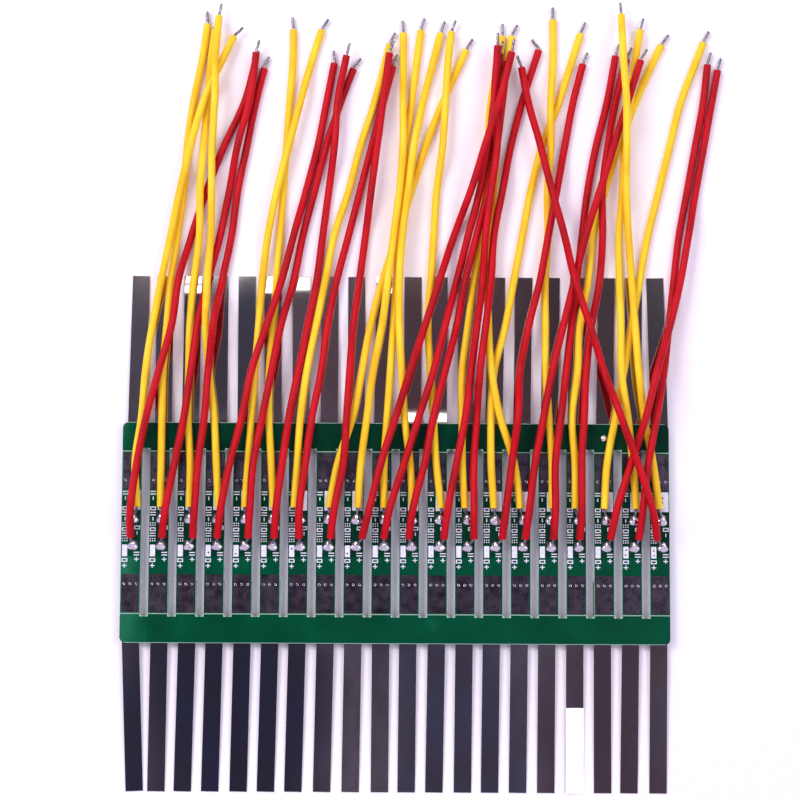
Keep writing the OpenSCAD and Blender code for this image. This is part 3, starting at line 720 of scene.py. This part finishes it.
# %% [markdown]
# Some boards carry a tester's pen dot in one of their white boxes. A dot of ink is a thin disc.

# %% Pen dots
dot_places = [(3, -1.0, -3.5), (4, -1.1, -3.7), (6, -1.05, -2.8), (8, -1.05, -3.6), (18, -1, -2.8),
              (18, -1.1, -3.6), (19, -1.05, -2.9), (19, -1, -3.7), (19, 0.5, 6.2), (19, 0.5, 5.4)]
bpy.ops.object.select_all(action="DESELECT")
bpy.ops.mesh.primitive_circle_add(vertices=16, radius=0.15 * mm, fill_type="NGON")
pen_dot = bpy.context.object
bpy.ops.object.mode_set(mode="EDIT")
bpy.ops.mesh.select_all(action="SELECT")
bpy.ops.mesh.extrude_region_move(TRANSFORM_OT_translate={"value": (0, 0, 0.01 * mm)})
bpy.ops.transform.resize(value=(0.8, 0.8, 1))
bpy.ops.mesh.select_all(action="SELECT")
bpy.ops.mesh.normals_make_consistent(inside=False)
bpy.ops.object.mode_set(mode="OBJECT")
pen_dots = [copied(pen_dot, move(boards[i] + x, y, board_top + print_t)) for i, x, y in dot_places]
bpy.data.objects.remove(pen_dot)
root_piece(joined(pen_dots, "pen_dots"), "chip_body")

# %% [markdown]
# ## Components on the back
#
# The back of each board carries a protection chip, a pair of transistors in one package, two resistors
# and a capacitor. Their blocks in the CAD model have sharp edges. A moulded or sintered body never has, so
# each gets a copy whose loose triangles are merged and whose edges are then rounded.


# %% Rounded copies of CAD nodes
def rounded_copy(node, name, slot, width):
    piece = copied(nodes[node], Matrix())
    piece.name = name
    select_only(piece)
    bpy.ops.object.mode_set(mode="EDIT")
    bpy.ops.mesh.select_all(action="SELECT")
    bpy.ops.mesh.remove_doubles(threshold=0.001 * mm)
    bpy.ops.mesh.dissolve_limited(angle_limit=math.radians(2))
    bpy.ops.object.mode_set(mode="OBJECT")
    bevel(piece, width)
    bpy.ops.object.shade_smooth_by_angle(angle=math.radians(40))
    return root_piece(piece, slot, node)


rounded_copy("protection_chips", "moulded_chips", "chip_body", 0.08)
rounded_copy("mosfets", "moulded_transistors", "chip_body", 0.1)
rounded_copy("protection_chip_pins", "chip_legs", "tin_pins", 0.03)
rounded_copy("mosfet_pins", "transistor_legs", "tin_pins", 0.03)
rounded_copy("resistors", "resistor_bodies", "chip_body", 0.03)
rounded_copy("capacitors", "capacitor_bodies", "ceramic", 0.05)
rounded_copy("chip_end_caps", "end_caps", "tin_pins", 0.06)

# %% [markdown]
# ## A bead on the rail
#
# One drop of solder has stayed on the rail near its right end. It is a ball that settled as it froze.

# %% The bead
bead_place, bead_r = (36, 16.5, board_top), 0.65
bpy.ops.object.select_all(action="DESELECT")
bpy.ops.mesh.primitive_uv_sphere_add(segments=20, ring_count=14, radius=bead_r * mm)
bead = bpy.context.object
bpy.ops.object.mode_set(mode="EDIT")
bpy.ops.mesh.select_all(action="SELECT")
bpy.ops.transform.resize(value=(1, 1, 0.75))
bpy.ops.mesh.bisect(plane_co=(0, 0, -0.1 * mm), plane_no=(0, 0, 1), use_fill=True, clear_inner=True)
bpy.ops.mesh.select_all(action="SELECT")
bpy.ops.transform.translate(value=[v * mm for v in (bead_place[0], bead_place[1], bead_place[2] + 0.1)])
bpy.ops.object.mode_set(mode="OBJECT")
bpy.ops.object.shade_smooth_by_angle(angle=math.radians(50))
bead.name = "rail_bead"
root_piece(bead, "solder", "rail_solder_dot")

# %% [markdown]
# ## Materials
#
# Every finish starts from what the real thing is made of. The helpers turn a hex colour to linear light,
# add a node with its settings and links, and give the surface its place in millimetres, so that every
# pattern below is sized in millimetres too.


# %% Helpers for materials
def linear(hex_colour):
    """An sRGB hex colour as linear red, green, blue and alpha."""
    channels = [int(hex_colour[k:k + 2], 16) / 255 for k in (1, 3, 5)]
    return [c / 12.92 if c <= 0.04045 else ((c + 0.055) / 1.055) ** 2.4 for c in channels] + [1]


def add(material, kind, inputs=None, **settings):
    """Adds a node with its own settings, and sets or links its inputs by name or number."""
    tree = material.node_tree
    node = tree.nodes.new(kind)
    for name, value in settings.items():
        setattr(node, name, value)
    for socket, value in (inputs or {}).items():
        if isinstance(value, bpy.types.NodeSocket):
            tree.links.new(value, node.inputs[socket])
        else:
            node.inputs[socket].default_value = value
    return node


def new_material(name):
    material = bpy.data.materials.new(name)
    material.use_nodes = True
    material.node_tree.nodes.clear()
    return material


def in_mm(material, stretch=(1, 1, 1), turned=0):
    """The place on the surface in millimetres, stretched or turned about Z for a pattern."""
    where = add(material, "ShaderNodeTexCoord")
    scale = [s / mm for s in stretch]
    mapping = add(material, "ShaderNodeMapping", {
        "Vector": where.outputs["Object"], "Rotation": (0, 0, math.radians(turned)), "Scale": scale})
    return mapping.outputs["Vector"]


def ramp(material, factor, *stops):
    """A colour ramp with stops of a place and a hex colour."""
    node = add(material, "ShaderNodeValToRGB", {"Fac": factor})
    elements = node.color_ramp.elements
    while len(elements) < len(stops):
        elements.new(0.5)
    for element, (place, colour) in zip(elements, stops):
        element.position, element.color = place, linear(colour)
    return node.outputs["Color"]


def finish(material, shader):
    add(material, "ShaderNodeOutputMaterial", {"Surface": shader.outputs[0]})
    return material


# %% [markdown]
# ### PVC insulation
#
# Soft PVC from a hot die: coloured through, with a satin skin. It has a broad, weak sheen and fine streaks
# along the wire, and its colour deepens a little where it is thicker.


# %% PVC
def extruded_pvc(name, deep, main, pale):
    m = new_material(name)
    cloud = add(m, "ShaderNodeTexNoise", {"Vector": in_mm(m, (1, 0.25, 1)), "Scale": 0.5, "Detail": 3})
    colour = ramp(m, cloud.outputs["Fac"], (0.3, deep), (0.5, main), (0.72, pale))
    skin = add(m, "ShaderNodeTexNoise", {"Vector": in_mm(m, (1, 0.2, 1)), "Scale": 1 / 0.25, "Detail": 4})
    rough = add(m, "ShaderNodeMapRange", {
        "Value": skin.outputs["Fac"], "From Min": 0.3, "From Max": 0.7, "To Min": 0.42, "To Max": 0.58})
    bump = add(m, "ShaderNodeBump", {
        "Height": skin.outputs["Fac"], "Strength": 0.35, "Distance": 0.03 * mm})
    shader = add(m, "ShaderNodeBsdfPrincipled", {
        "Base Color": colour, "Roughness": rough.outputs["Result"], "Specular IOR Level": 0.18,
        "Subsurface Weight": 0.12, "Subsurface Radius": (1, 0.4, 0.3), "Subsurface Scale": 0.3 * mm,
        "Normal": bump.outputs["Normal"]})
    return finish(m, shader)


red_pvc = extruded_pvc("red_pvc_extruded", "#A20012", "#BE0016", "#CC041C")
yellow_pvc = extruded_pvc("yellow_pvc_extruded", "#F4BE20", "#FCD22C", "#FFE03C")

# %% [markdown]
# ### Solder mask on FR-4
#
# The laminate is woven glass in epoxy, covered with a thin coat of green mask that is glossy and slightly
# uneven. Over the copper the green is lighter. Where the router, the score blade or a hole has cut through
# the coat, bare laminate shows as a pale line, so the colour follows the way a face points, and a narrow
# band along the routed edges where the coat is chipped.

# %% The panel's finish
mask_m = new_material("green_mask_on_fr4")
place = add(mask_m, "ShaderNodeSeparateXYZ", {0: in_mm(mask_m)})


def maths(operation, *values):
    """A Math node in the panel's material."""
    return add(mask_m, "ShaderNodeMath", dict(enumerate(values)), operation=operation).outputs[0]


def within(value, low, high):
    """1 where a value lies between two limits, and 0 elsewhere."""
    return maths("MULTIPLY", maths("GREATER_THAN", value, low), maths("LESS_THAN", value, high))


half_slot, chip_out = (pitch - board_w) / 2, 0.03
along = maths("ABSOLUTE", place.outputs["Y"])
from_slot = maths("PINGPONG", place.outputs["X"], pitch / 2)
rough_edge = add(mask_m, "ShaderNodeTexNoise", {"Vector": in_mm(mask_m), "Scale": 1 / 0.4})
chipped = maths("MULTIPLY_ADD", rough_edge.outputs["Fac"], chip_out, half_slot + chip_out / 3)
slot_rim = maths("MULTIPLY", maths("LESS_THAN", from_slot, chipped), maths("LESS_THAN", along, 14.5))
score_rim = within(along, board_l / 2 - 0.09, board_l / 2 + 0.09)
long_rim = maths("GREATER_THAN", along, panel_l / 2 - 0.07)
facing = add(mask_m, "ShaderNodeSeparateXYZ", {
    0: add(mask_m, "ShaderNodeNewGeometry").outputs["Normal"]})
cut_face = maths("LESS_THAN", maths("ABSOLUTE", facing.outputs["Z"]), 0.5)
bare = maths("MAXIMUM", maths("MAXIMUM", slot_rim, score_rim), maths("MAXIMUM", long_rim, cut_face))
copper = maths("MAXIMUM", within(along, 6.2, 14), maths("LESS_THAN", place.outputs["Y"], -4.2))
tone = add(mask_m, "ShaderNodeTexNoise", {"Vector": in_mm(mask_m), "Scale": 1 / 6, "Detail": 2})
# Painted light: left of X = -41 mm the green is painted lighter towards the panel's end, as if more light fell on
# that end.
painted_light_to_left = maths("MAXIMUM", maths("MULTIPLY_ADD", place.outputs["X"], -0.08, -3.3), 0)
mix_tone = maths("ADD", maths("MULTIPLY_ADD", copper, 0.35, maths("MULTIPLY", tone.outputs["Fac"], 0.6)), painted_light_to_left)
green = ramp(mask_m, mix_tone, (0.2, "#002E1D"), (0.5, "#004029"), (0.75, "#004B31"), (1.0, "#1E6A4C"))
laminate = add(mask_m, "ShaderNodeTexNoise", {
    "Vector": in_mm(mask_m, (1, 1, 4)), "Scale": 1 / 0.2, "Detail": 4})
cut_colour = ramp(mask_m, laminate.outputs["Fac"], (0.3, "#8FB8A4"), (0.7, "#B8D8C8"))
colour = add(mask_m, "ShaderNodeMix", {"Factor": bare, 6: green, 7: cut_colour}, data_type="RGBA")
weave = add(mask_m, "ShaderNodeTexWave", {"Vector": in_mm(mask_m), "Scale": 0.25, "Distortion": 0.6},
            bands_direction="DIAGONAL")
orange_peel = add(mask_m, "ShaderNodeTexNoise", {"Vector": in_mm(mask_m), "Scale": 1 / 0.8, "Detail": 3})
height = maths("MULTIPLY_ADD", weave.outputs["Fac"], 0.15, orange_peel.outputs["Fac"])
bump = add(mask_m, "ShaderNodeBump", {"Height": height, "Strength": 0.4, "Distance": 0.01 * mm})
rough = maths("MULTIPLY_ADD", bare, 0.5, 0.14)
shader = add(mask_m, "ShaderNodeBsdfPrincipled", {
    "Base Color": colour.outputs[2], "Roughness": rough, "Specular IOR Level": 0.3,
    "Normal": bump.outputs["Normal"]})
mask = finish(mask_m, shader)

# %% [markdown]
# ### Levelled tin
#
# The pads are dipped in tin and blown level with hot air. The tin freezes with fine ripples and wrinkles
# both ways across the pad, which break up what it mirrors into dark patches and bright specks. These
# patches and specks are also painted into the tin's colour, as a painted reflection that runs from a dark
# tint to a pale one with the same ripples.


# %% Tin
def levelled_tin(name, dark, main, pale, ripple):
    m = new_material(name)
    patches = add(m, "ShaderNodeTexNoise", {"Vector": in_mm(m), "Scale": 1 / 1.6, "Detail": 4})
    across = add(m, "ShaderNodeTexNoise", {"Vector": in_mm(m, (1, 0.14, 1)), "Scale": 1 / 0.3, "Detail": 3})
    down = add(m, "ShaderNodeTexNoise", {"Vector": in_mm(m, (0.3, 1, 1)), "Scale": 1 / 0.7, "Detail": 3})
    both = add(m, "ShaderNodeMath", {0: across.outputs["Fac"], 1: down.outputs["Fac"]}, operation="MULTIPLY")
    grain = add(m, "ShaderNodeTexNoise", {"Vector": in_mm(m), "Scale": 1 / 0.3, "Detail": 5})
    height = add(m, "ShaderNodeMath", {0: both.outputs[0], 1: 2.0, 2: grain.outputs["Fac"]},
                 operation="MULTIPLY_ADD")
    boardwise = add(m, "ShaderNodeTexNoise", {"Vector": in_mm(m, (0.5, 0.12, 1)), "Scale": 1 / 2.4, "Detail": 1})
    varied = add(m, "ShaderNodeMath", {0: boardwise.outputs["Fac"], 1: 0.9, 2: patches.outputs["Fac"]},
                 operation="MULTIPLY_ADD")
    # Painted reflection: the colour follows this mix from the dark tint to the pale one, so the dark patches and
    # bright specks of what the tin mirrors are painted in.
    painted_reflection = add(m, "ShaderNodeMath", {0: varied.outputs[0], 1: both.outputs[0]}, operation="ADD")
    colour = ramp(m, painted_reflection.outputs[0], (1.0, dark), (1.22, main), (1.45, pale))
    rough = add(m, "ShaderNodeMapRange", {
        "Value": patches.outputs["Fac"], "From Min": 0.3, "From Max": 0.7, "To Min": 0.38, "To Max": 0.2})
    bump = add(m, "ShaderNodeBump", {
        "Height": height.outputs[0], "Strength": 1, "Distance": ripple * mm})
    shader = add(m, "ShaderNodeBsdfPrincipled", {
        "Base Color": colour, "Metallic": 1, "Roughness": rough.outputs["Result"],
        "Normal": bump.outputs["Normal"]})
    return finish(m, shader)


tin = levelled_tin("hot_air_levelled_tin", "#4C4450", "#857A86", "#D8D2D8", 0.028)
pin_tin = levelled_tin("plated_tin_legs", "#8F8B90", "#B5B2B6", "#D5D3D6", 0.01)

# %% [markdown]
# ### Solder and tinned copper
#
# Fresh solder is a bright mirror that is slightly wavy. The tinned strands are the same metal, thinner and
# duller, with flux left in the grooves.


# %% Solder
def solder_metal(name, colour, dull, rough, wave):
    m = new_material(name)
    cloud = add(m, "ShaderNodeTexNoise", {"Vector": in_mm(m), "Scale": 1 / 0.4, "Detail": 3})
    shade = ramp(m, cloud.outputs["Fac"], (0.35, dull), (0.6, colour))
    bump = add(m, "ShaderNodeBump", {"Height": cloud.outputs["Fac"], "Strength": 1, "Distance": wave * mm})
    shader = add(m, "ShaderNodeBsdfPrincipled", {
        "Base Color": shade, "Metallic": 1, "Roughness": rough, "Normal": bump.outputs["Normal"]})
    return finish(m, shader)


solder = solder_metal("fresh_solder", "#F4F0F4", "#DCD6DC", 0.12, 0.008)
tinned = solder_metal("tinned_copper_strands", "#9A969C", "#625C64", 0.3, 0.01)

# %% [markdown]
# ### Rolled nickel
#
# Nickel-plated strip is rolled, which leaves it almost a mirror with hair-thin lines along its length.
# Nickel is a warm grey. From one strip to the next its tint differs a little, since each was cut from
# another stretch of the reel and handled, and faint tarnish clouds the surface.

# %% Nickel
nickel = new_material("rolled_nickel")
lines = add(nickel, "ShaderNodeTexNoise", {
    "Vector": in_mm(nickel, (1, 0.02, 1)), "Scale": 1 / 0.12, "Detail": 3})
tarnish = add(nickel, "ShaderNodeTexNoise", {
    "Vector": in_mm(nickel, (0.5, 0.25, 1)), "Scale": 1 / 3, "Detail": 3})
tint = ramp(nickel, tarnish.outputs["Fac"], (0.35, "#B8AEA6"), (0.5, "#C4BCB4"), (0.65, "#CAC6C6"))
rough = add(nickel, "ShaderNodeMapRange", {
    "Value": tarnish.outputs["Fac"], "From Min": 0.3, "From Max": 0.7, "To Min": 0.09, "To Max": 0.05})
bump = add(nickel, "ShaderNodeBump", {
    "Height": lines.outputs["Fac"], "Strength": 0.4, "Distance": 0.001 * mm})
shader = add(nickel, "ShaderNodeBsdfPrincipled", {
    "Base Color": tint, "Metallic": 1, "Roughness": rough.outputs["Result"],
    "Normal": bump.outputs["Normal"]})
finish(nickel, shader)

# %% [markdown]
# ### Ink, moulding and ceramic
#
# Printed ink is a matt epoxy that thins at its edges. Moulding compound is black epoxy full of glass
# grains. A capacitor's body is fired ceramic, a matt tan.


# %% Matt finishes
def matt(name, deep, main, grain_mm, rough, height_mm):
    m = new_material(name)
    grain = add(m, "ShaderNodeTexNoise", {"Vector": in_mm(m), "Scale": 1 / grain_mm, "Detail": 4})
    colour = ramp(m, grain.outputs["Fac"], (0.35, deep), (0.6, main))
    bump = add(m, "ShaderNodeBump", {
        "Height": grain.outputs["Fac"], "Strength": 0.6, "Distance": height_mm * mm})
    shader = add(m, "ShaderNodeBsdfPrincipled", {
        "Base Color": colour, "Roughness": rough, "Normal": bump.outputs["Normal"]})
    return finish(m, shader)


white = matt("white_legend_ink", "#D2D4E4", "#E8EAF4", 0.35, 0.5, 0.004)
black = matt("epoxy_moulding_compound", "#121214", "#1D1D20", 0.1, 0.55, 0.008)
tan = matt("fired_ceramic", "#8A6644", "#A87E56", 0.12, 0.6, 0.006)

# %% Dressing the pieces
finishes = {"green_laminate": mask, "tin_pads": tin, "white_print": white, "nickel": nickel,
            "solder": solder, "tinned_core": tinned, "chip_body": black, "tin_pins": pin_tin,
            "ceramic": tan, "yellow_insulation": yellow_pvc, "red_insulation": red_pvc}


def dress(piece, material):
    piece.data.materials.clear()
    piece.data.materials.append(material)


for row in frame["record"]["subparts"]:
    dress(nodes[row["node"]], finishes[row["material_slot"]])
for name, slot in pieces.items():
    dress(bpy.data.objects[name], finishes[slot])
for name, (sleeve, tip) in leads.items():
    dress(sleeve, finishes[name.split("_")[0] + "_insulation"])
    dress(tip, tinned)
print("materials:", len(bpy.data.materials))

# %% [markdown]
# ## Floor and light
#
# The floor is a matt white sheet. The room is pale all round, but right above the table it is dark, with a
# brownish rim, as where a photographer stands over the work. A matt surface hardly notices that, but every
# flat bright metal mirrors it, which is why the strips look almost black between their bright edges.

# %% The floor
bpy.ops.object.select_all(action="DESELECT")
bpy.ops.mesh.primitive_plane_add(size=2, location=(0, 0, -0.02 * mm))
floor = bpy.context.object
floor.name = "floor"
paper = new_material("matt_white_sheet")
fibres = add(paper, "ShaderNodeTexNoise", {"Vector": in_mm(paper), "Scale": 1 / 2, "Detail": 4})
tone = ramp(paper, fibres.outputs["Fac"], (0.3, "#FBF8FF"), (0.7, "#FDFBFF"))
shader = add(paper, "ShaderNodeBsdfPrincipled", {
    "Base Color": tone, "Roughness": 0.9, "Specular IOR Level": 0.2})
finish(paper, shader)
dress(floor, paper)


# %% Light
def softbox(name, place, size, watts, colour="#FFFFFF"):
    bpy.ops.object.light_add(type="AREA", location=Vector(place) * mm)
    lamp = bpy.context.object
    lamp.name = name
    lamp.data.shape, lamp.data.size = "SQUARE", size * mm
    lamp.data.energy = watts
    lamp.data.color = linear(colour)[:3]
    lamp.rotation_euler = (Vector((0, 20 * mm, 0)) - lamp.location).to_track_quat("-Z", "Y").to_euler()
    return lamp


softbox("left_softbox", (-300, 200, 440), 240, 1.5, "#FFFAF4")
softbox("right_softbox", (300, 100, 440), 200, 0.6, "#FFFAF4")
softbox("small_card", (158, -89, 420), 70, 0.05)
long_card = softbox("long_card", (-32, 192, 430), 75, 0.12)
long_card.data.shape, long_card.data.size_y = "RECTANGLE", 75 * mm
long_card.data.size = 130 * mm
bpy.context.scene.view_settings.view_transform = "Standard"

# %% The room
world = bpy.data.worlds.new("room")
bpy.context.scene.world = world
world.use_nodes = True
world.node_tree.nodes.clear()
way = add(world, "ShaderNodeTexCoord")
across = add(world, "ShaderNodeSeparateXYZ", {0: way.outputs["Generated"]})
stirred = add(world, "ShaderNodeTexNoise", {"Vector": way.outputs["Generated"], "Scale": 12, "Detail": 1})
shifted = add(world, "ShaderNodeMath", {0: stirred.outputs["Fac"], 1: 0.03, 2: across.outputs["X"]},
              operation="MULTIPLY_ADD")
overhead = add(world, "ShaderNodeMapRange", {
    "Value": shifted.outputs[0], "From Min": -0.129, "From Max": 0.171})
dark = ramp(world, overhead.outputs["Result"], (0.05, "#6A667F"), (0.1, "#373857"), (0.3, "#373857"),
            (0.34, "#484862"), (0.38, "#84768E"), (0.43, "#66637E"), (0.48, "#51506E"), (0.62, "#51506E"),
            (0.7, "#756E89"), (0.78, "#5E4D62"), (0.87, "#5A4A60"), (0.93, "#6A667F"))
warm = ramp(world, overhead.outputs["Result"], (0.05, "#68647D"), (0.1, "#60586C"), (0.2, "#4A4B62"),
            (0.27, "#544E62"), (0.34, "#736277"), (0.41, "#6E5C70"), (0.47, "#65505D"), (0.67, "#65505D"),
            (0.71, "#463542"), (0.76, "#5A4D58"), (0.83, "#5A4D58"), (0.9, "#515567"))
behind = add(world, "ShaderNodeMapRange", {
    "Value": across.outputs["Y"], "From Min": 0.07, "From Max": 0.13}, interpolation_type="SMOOTHSTEP")
above = add(world, "ShaderNodeMix", {"Factor": behind.outputs["Result"], 6: dark, 7: warm},
            data_type="RGBA").outputs[2]
off_zenith = add(world, "ShaderNodeMapping", {
    "Vector": way.outputs["Generated"], "Location": (0, -0.06, 0), "Scale": (1 / 0.19, 1 / 0.26, 0)})
far = add(world, "ShaderNodeVectorMath", {0: off_zenith.outputs["Vector"]}, operation="LENGTH")
level = add(world, "ShaderNodeMath", {0: across.outputs["Z"], 1: 0.0}, operation="LESS_THAN")
below = add(world, "ShaderNodeMath", {0: level.outputs[0], 1: 2.0}, operation="MULTIPLY")
outside = add(world, "ShaderNodeMath", {0: far.outputs["Value"], 1: below.outputs[0]}, operation="MAXIMUM")
edge = add(world, "ShaderNodeMapRange", {
    "Value": outside.outputs[0], "From Min": 0.95, "From Max": 1.35}, interpolation_type="SMOOTHSTEP")
sky = add(world, "ShaderNodeMix", {"Factor": edge.outputs["Result"], 6: above, 7: linear("#E0D8F6")},
          data_type="RGBA").outputs[2]
background = add(world, "ShaderNodeBackground", {"Color": sky, "Strength": 0.85})
add(world, "ShaderNodeOutputWorld", {"Surface": background.outputs[0]})

# %% [markdown]
# ## The last step
#
# The flat outline that gave the strands their section is removed, since nothing needs it any more.

# %% The end
bpy.data.objects.remove(section)
